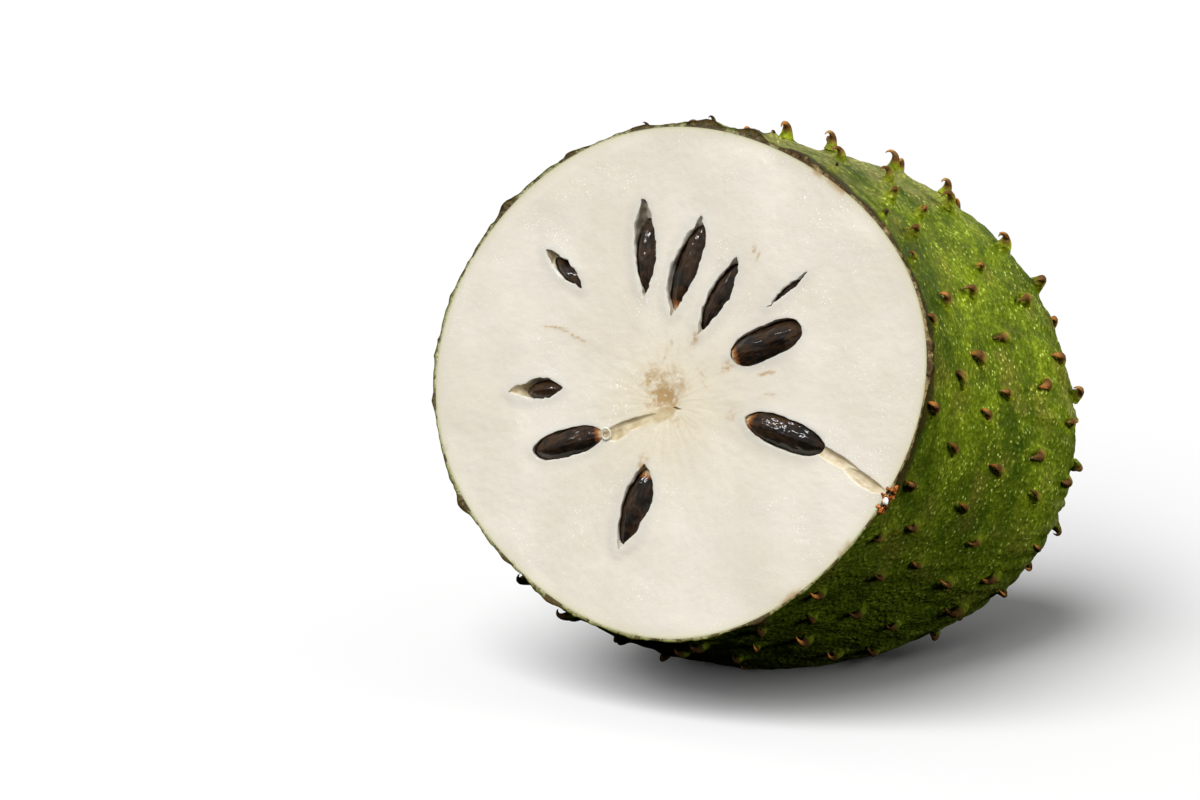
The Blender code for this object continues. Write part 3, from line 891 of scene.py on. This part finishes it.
class Finish:
    def __init__(self, name, **fixed):
        self.material = bpy.data.materials.new(name)
        self.material.use_nodes = True
        self.tree = self.material.node_tree
        self.shader = self.tree.nodes["Principled BSDF"]
        for socket, value in fixed.items():
            self.shader.inputs[socket.replace("_", " ")].default_value = value

    # any node: its type, its settings, the output wanted, and what its sockets get
    def node(self, kind, settings=None, output=0, **sockets):
        made = self.tree.nodes.new("ShaderNode" + kind)
        for key, value in (settings or {}).items():
            if key == "stops":
                self.setStops(made.color_ramp, value)
            else:
                setattr(made, key, value)
        for key, value in sockets.items():
            place = int(key[1:]) if key[0] == "i" and key[1:].isdigit() else key.replace("_", " ")
            if isinstance(value, Wire):
                self.tree.links.new(value.socket, made.inputs[place])
            else:
                made.inputs[place].default_value = value
        return Wire(self.tree, made.outputs[output])

    def setStops(self, ramp, stops):
        while len(ramp.elements) < len(stops):
            ramp.elements.new(0.5)
        for element, (place, colour) in zip(ramp.elements, stops):
            element.position = place
            element.color = (*colour, 1)

    def place(self):
        return self.node("TexCoord", output="Object")

    def noise(self, place, scale, detail=3.0, roughness=0.55):
        return self.node("TexNoise", Vector=place, Scale=scale, Detail=detail,
                         Roughness=roughness)

    def mark(self, name):
        return self.node("Attribute", {"attribute_name": name}, output="Fac")

    def step(self, value, low, high):
        return self.node("MapRange", {"interpolation_type": "SMOOTHSTEP"}, Value=value,
                         i1=low, i2=high)

    def mix(self, share, first, second, blend="MIX"):
        colours = [value if isinstance(value, Wire) else (*value, 1) for value in (first, second)]
        return self.node("Mix", {"data_type": "RGBA", "blend_type": blend, "clamp_factor": True},
                         output=2, i0=share, i6=colours[0], i7=colours[1])

    def ramp(self, value, stops):
        return self.node("ValToRGB", {"stops": stops}, Fac=value)

    def bump(self, height, distance, strength=1.0):
        return self.node("Bump", Height=height, Distance=distance, Strength=strength)

    def feed(self, **sockets):
        for key, value in sockets.items():
            self.tree.links.new(value.socket, self.shader.inputs[key.replace("_", " ")])
        return self.material


def skinFinish():
    finish = Finish("soursopSkin", Specular_IOR_Level=0.18)
    place = finish.place()
    broad = finish.noise(place, 30, 3)
    patch = finish.noise(place, 140, 4, 0.65)
    soft = finish.noise(place, 1000, 1, 0.5)
    cells = finish.node("TexVoronoi", {"feature": "SMOOTH_F1"}, output="Distance",
                        Vector=place, Scale=900, Smoothness=0.8)
    grain = 0.75 * soft + 0.265 - 0.40 * cells
    green = finish.ramp(broad * 0.55 + patch * 0.45,
                        [(0.36, (0.024, 0.044, 0.002)), (0.45, (0.062, 0.090, 0.003)),
                         (0.54, (0.115, 0.156, 0.005)), (0.64, (0.200, 0.255, 0.009))])
    olive = finish.step(finish.noise(place, 75, 3), 0.50, 0.68)
    green = finish.mix(olive * 0.55, green, (0.150, 0.122, 0.018))
    # painted highlight: lighter yellow-green on the swellings round the spine feet
    halo = finish.mark("halo")
    green = finish.mix(finish.step(halo, 0.15, 0.85) * 0.38, green, (0.250, 0.270, 0.008))
    # dry skin at the blossom end, partly a painted grey sheen there and on the top
    dry = finish.mark("dry")
    green = finish.mix(finish.step(dry + (patch - 0.5) * 1.3, 0.25, 0.95) * 0.65, green,
                       (0.250, 0.215, 0.095))
    lively = finish.step(patch, 0.36, 0.62)
    # darker green in the gaps between the pebbles: the skin's own net, partly painted shade
    green = finish.mix(finish.step(grain, 0.50, 0.34) * 0.42, green, (0.022, 0.048, 0.001))
    # lighter pebble tops: the skin's own speckle, partly a painted highlight
    green = finish.mix(finish.step(grain, 0.52, 0.66) * (0.10 + 0.26 * lively), green,
                       (0.440, 0.540, 0.060))
    # painted glints: small pale dots in the colour, more in the lively patches
    glintSpecks = finish.node("TexVoronoi", output="Distance", Vector=place, Scale=560)
    green = finish.mix(finish.step(glintSpecks, 0.24, 0.08) * (0.25 + 0.50 * lively), green,
                       (0.620, 0.720, 0.180))
    rimShade = finish.mark("rimShade")
    green = finish.mix(rimShade * (0.30 + 0.35 * finish.step(patch, 0.56, 0.42)), green,
                       (0.026, 0.044, 0.002))
    # painted shade: the skin darkens the more it faces down
    belly = finish.mark("belly")
    green = finish.mix(belly * 0.80, green, (0.008, 0.016, 0.001))
    darkRim = finish.mark("darkRim")
    dark = finish.step(darkRim + (grain - 0.5) * 0.9 + (patch - 0.5) * 1.2, 0.25, 0.70)
    green = finish.mix(dark * 0.85, green, (0.022, 0.014, 0.005))
    scar = finish.mark("scar")
    scarred = finish.step(scar + (grain - 0.5) * 0.7, 0.30, 0.75)
    share = finish.mark("spineShare")
    ripe = finish.mark("ripe")
    brown = finish.ramp(share + (patch - 0.5) * 0.3 + (ripe - 0.6) * 0.40,
                        [(0.10, (0.200, 0.200, 0.018)), (0.30, (0.180, 0.120, 0.022)),
                         (0.46, (0.080, 0.036, 0.010)), (0.64, (0.120, 0.060, 0.018)),
                         (0.86, (0.330, 0.200, 0.075))])
    rusty = finish.step(patch + (ripe - 0.5) * 0.3, 0.48, 0.60) * finish.step(share, 0.45, 0.75)
    brown = finish.mix(rusty * 0.75, brown, (0.360, 0.120, 0.018))
    # painted shade on the spines of the underside
    brown = finish.mix(belly * 0.8 * (1.2 - rusty), brown, (0.020, 0.010, 0.003))
    colour = finish.mix(finish.step(share, 0.06, 0.26), green, brown)
    colour = finish.mix(scarred * 0.85, colour, (0.035, 0.022, 0.010))
    inner = finish.mark("innerSide")
    crust = finish.step(finish.noise(place, 420, 3) + 0.3 * scar + 0.06 * darkRim, 0.50, 0.62)
    cutEdge = finish.ramp(inner, [(0.06, (0.050, 0.060, 0.010)), (0.28, (0.220, 0.240, 0.050)),
                                  (0.55, (0.480, 0.470, 0.190)), (1.0, (0.640, 0.600, 0.400))])
    cutEdge = finish.mix(darkRim * 0.7, cutEdge, (0.480, 0.320, 0.150))
    cutEdge = finish.mix(crust * 0.8, cutEdge, (0.090, 0.042, 0.015))
    colour = finish.mix(finish.step(inner, 0.001, 0.12), colour, cutEdge)
    crumb = finish.mark("crumb")
    crumbly = finish.ramp(grain * 0.5 + patch * 0.5,
                          [(0.38, (0.035, 0.012, 0.005)), (0.47, (0.260, 0.070, 0.014)),
                           (0.54, (0.480, 0.170, 0.040)), (0.62, (0.560, 0.360, 0.200))])
    crumbly = finish.mix(finish.step(crumb, 1.1, 1.9), (0.700, 0.680, 0.640), crumbly)
    colour = finish.mix(finish.step(crumb, 0.1, 0.9), colour, crumbly)
    normal = finish.bump(grain + 0.8 * patch, 0.00070, 1.0)
    rough = 0.28 + 0.3 * patch + 0.25 * belly + 0.20 * finish.step(share, 0.05, 0.3)
    return finish.feed(Base_Color=colour, Roughness=rough, Normal=normal)


def fleshFinish():
    finish = Finish("soursopFlesh", Subsurface_Weight=0.30, Subsurface_Scale=0.002,
                    Subsurface_Radius=(1.0, 0.8, 0.55), Coat_Weight=0.30, Coat_Roughness=0.15)
    place = finish.place()
    broad = finish.noise(place, 40, 3)
    fine = finish.noise(place, 1700, 3, 0.6)
    cloudy = finish.noise(place, 300, 3)
    colour = finish.mix(finish.step(broad, 0.35, 0.68), (0.652, 0.600, 0.506),
                        (0.708, 0.663, 0.577))
    coreNear = finish.mark("coreNear")
    colour = finish.mix(coreNear * 0.60, colour, (0.690, 0.620, 0.440))
    rays = finish.noise(finish.node("Attribute", {"attribute_name": "corePlace"},
                                    output="Vector"), 1.0, 4, 0.6)
    fibrous = finish.mark("fibrous")
    colour = finish.mix(finish.step(rays, 0.50, 0.34) * fibrous * 0.28, colour,
                        (0.470, 0.400, 0.255))
    colour = finish.mix(finish.step(rays, 0.52, 0.70) * (0.12 + fibrous * 0.25), colour,
                        (0.740, 0.700, 0.620))
    dots = finish.node("TexVoronoi", output="Distance", Vector=place, Scale=1400)
    dewy = finish.step(finish.noise(place, 75, 3), 0.50, 0.66)
    glint = finish.step(dots, 0.30, 0.10) * finish.step(cloudy, 0.42, 0.56)
    colour = finish.mix(glint * (0.12 + 0.50 * dewy), colour, (1.0, 1.0, 1.0))
    # painted shade: greyer flesh round the openings, where the dark seeds show through the pulp
    pocketNear = finish.mark("pocketNear")
    colour = finish.mix(pocketNear * 0.32, colour, (0.490, 0.495, 0.450))
    # beige-brown on the walls of hollows and splits, below the cut face
    groove = finish.mark("groove")
    beige = finish.mix(finish.step(cloudy, 0.40, 0.62), (0.440, 0.340, 0.185),
                       (0.590, 0.500, 0.320))
    colour = finish.mix(groove * 0.9, colour, beige)
    deep = finish.mark("deep")
    # painted shade in the pockets and splits: tan, then dark brown, the deeper the wall lies
    colour = finish.mix(finish.step(deep, 0.08, 0.35) * 0.60, colour, (0.520, 0.440, 0.280))
    colour = finish.mix(finish.step(deep, 0.40, 0.80) * 0.80, colour, (0.110, 0.070, 0.035))
    stain = finish.mark("stain")
    colour = finish.mix(finish.step(stain + (fine - 0.5) * 0.4, 0.0, 0.66) * 0.90, colour,
                        (0.430, 0.270, 0.105))
    rimDepth = finish.mark("rimDepth")
    colour = finish.mix((1 - finish.step(rimDepth, 0.0, 0.26)) * 0.35, colour,
                        (0.570, 0.540, 0.340))
    colour = finish.mix((1 - finish.step(rimDepth, 0.0, 0.07)) * 0.55, colour,
                        (0.500, 0.480, 0.190))
    burnt = (1 - finish.step(rimDepth, 0.02, 0.16)) * finish.step(finish.noise(place, 110, 3),
                                                                  0.56, 0.68)
    colour = finish.mix(burnt * 0.7, colour, (0.360, 0.200, 0.065))
    normal = finish.bump(0.8 * fine + 0.5 * cloudy + rays * fibrous * 2, 0.00006, 0.8)
    return finish.feed(Base_Color=colour, Roughness=0.32 + 0.25 * cloudy, Normal=normal)


def seedFinish():
    finish = Finish("soursopSeed", Coat_Weight=1.0, Coat_Roughness=0.12,
                    Specular_IOR_Level=0.22)
    place = finish.node("Attribute", {"attribute_name": "seedPlace"}, output="Vector")
    drawn = finish.node("VectorMath", {"operation": "MULTIPLY"}, i0=place, i1=(0.35, 1.6, 1.6))
    furrow = finish.noise(drawn, 1.1, 4, 0.65)
    patch = finish.noise(place, 0.30, 3)
    along = finish.mark("seedAlong")
    dark = finish.mix(finish.step(patch * 0.55 + furrow * 0.45, 0.42, 0.60),
                      (0.0050, 0.0030, 0.0015), (0.040, 0.018, 0.006))
    amber = finish.mix(finish.step(along + (furrow - 0.5) * 0.05, 0.89, 0.95),
                       (0.260, 0.085, 0.018), (0.600, 0.430, 0.220))
    colour = finish.mix(finish.step(along + (furrow - 0.5) * 0.10, 0.85, 0.90), dark, amber)
    normal = finish.bump(furrow + 0.5 * patch, 0.00040, 1.0)
    return finish.feed(Base_Color=colour, Roughness=0.30 + 0.35 * furrow, Normal=normal)


def assign(piece, material):
    piece.data.materials.clear()
    piece.data.materials.append(material)
    piece.data.polygons.foreach_set("material_index", np.zeros(len(piece.data.polygons), int))


stage = {
    "floorSize": 60.0,
    "floorColour": (0.815, 0.815, 0.815, 1),
    "sky": 0.26,                      # brightness of the dome over the horizon
    # name, heading of the light, strength, spread in degrees, what it lights, and whether it
    # is seen in the gloss
    "lamps": (
        ("topLamp", (0.15, 0.74, -1.0), 3.2, 44, "all", False),
        ("keyLamp", (0.16, 0.62, -0.9), 0.5, 9, "fruit", True),
        ("sideLamp", (0.40, 0.60, -0.70), 0.26, 7, "fruit", True),
        ("rightLamp", (-0.92, -0.05, -0.30), 4.0, 30, "fruit", False),
        ("backLamp", (0.75, -0.50, -0.20), 1.2, 40, "fruit", False),
        ("lowLamp", (-0.08, 0.94, -0.46), 1.25, 24, "floor", False),
    ),
}


# a floor that fills the view, a dome that is bright above and dark below, and the lamps; gives
# the collection of what the lamps of the fruit alone light
def buildStage():
    deselectAll()
    bpy.ops.mesh.primitive_plane_add(size=stage["floorSize"])
    floor = bpy.context.object
    floor.name = "studioFloor"
    paper = Finish("studioPaper", Roughness=0.9, Specular_IOR_Level=0.0)
    paper.shader.inputs["Base Color"].default_value = stage["floorColour"]
    assign(floor, paper.material)
    floor.visible_diffuse = False
    floor.visible_glossy = False
    world = bpy.data.worlds.new("studio")
    bpy.context.scene.world = world
    world.use_nodes = True
    sky = world.node_tree
    direction = sky.nodes.new("ShaderNodeTexCoord")
    split = sky.nodes.new("ShaderNodeSeparateXYZ")
    rise = sky.nodes.new("ShaderNodeMapRange")
    sky.links.new(direction.outputs["Generated"], split.inputs[0])
    sky.links.new(split.outputs["Z"], rise.inputs["Value"])
    rise.inputs["From Min"].default_value = -0.05
    rise.inputs["From Max"].default_value = 0.15
    rise.inputs["To Min"].default_value = 0.0
    rise.inputs["To Max"].default_value = stage["sky"]
    sky.links.new(rise.outputs["Result"], sky.nodes["Background"].inputs["Strength"])
    sky.nodes["Background"].inputs["Color"].default_value = (1, 1, 1, 1)
    lit = {"fruit": bpy.data.collections.new("litPieces"),
           "floor": bpy.data.collections.new("litFloor")}
    lit["floor"].objects.link(floor)
    for name, heading, strength, spread, target, glossy in stage["lamps"]:
        light = bpy.data.lights.new(name, "SUN")
        light.energy = strength
        light.angle = math.radians(spread)
        lamp = bpy.data.objects.new(name, light)
        lamp.rotation_euler = Vector(heading).to_track_quat("-Z", "Y").to_euler()
        bpy.context.scene.collection.objects.link(lamp)
        lamp.visible_glossy = glossy
        if target in lit:
            lamp.light_linking.receiver_collection = lit[target]
    return lit["fruit"]


camera = {
    "fromFace": (0.2771, -0.5289, 0.1002),
    "looks": (-0.4785, 0.8608, -0.1736),
    "lens": 85.0,
}


def addCamera():
    data = bpy.data.cameras.new("camera")
    data.lens = camera["lens"]
    data.sensor_width = 36.0
    data.clip_start = 0.01
    eye = bpy.data.objects.new("camera", data)
    eye.location = Vector(fruit["faceMiddle"]) + Vector(camera["fromFace"])
    eye.rotation_euler = Vector(camera["looks"]).to_track_quat("-Z", "Y").to_euler()
    bpy.context.scene.collection.objects.link(eye)
    bpy.context.scene.camera = eye


addCamera()
litPieces = buildStage()

fruitSkin = buildSkin()
assign(fruitSkin, skinFinish())
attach(fruitSkin, "root")
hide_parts("skin")
litPieces.objects.link(fruitSkin)

fruitFlesh = buildFlesh()
assign(fruitFlesh, fleshFinish())
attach(fruitFlesh, "root")
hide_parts("flesh")
litPieces.objects.link(fruitFlesh)

seedMaterial = seedFinish()
for number, seed in enumerate(buildSeeds(), 1):
    assign(seed, seedMaterial)
    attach(seed, "root")
    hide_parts(f"seed_{number:02d}")
    litPieces.objects.link(seed)

bpy.context.scene.view_settings.view_transform = "Standard"
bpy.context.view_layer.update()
print("sizes written", round(time.time() - started, 1), "s")
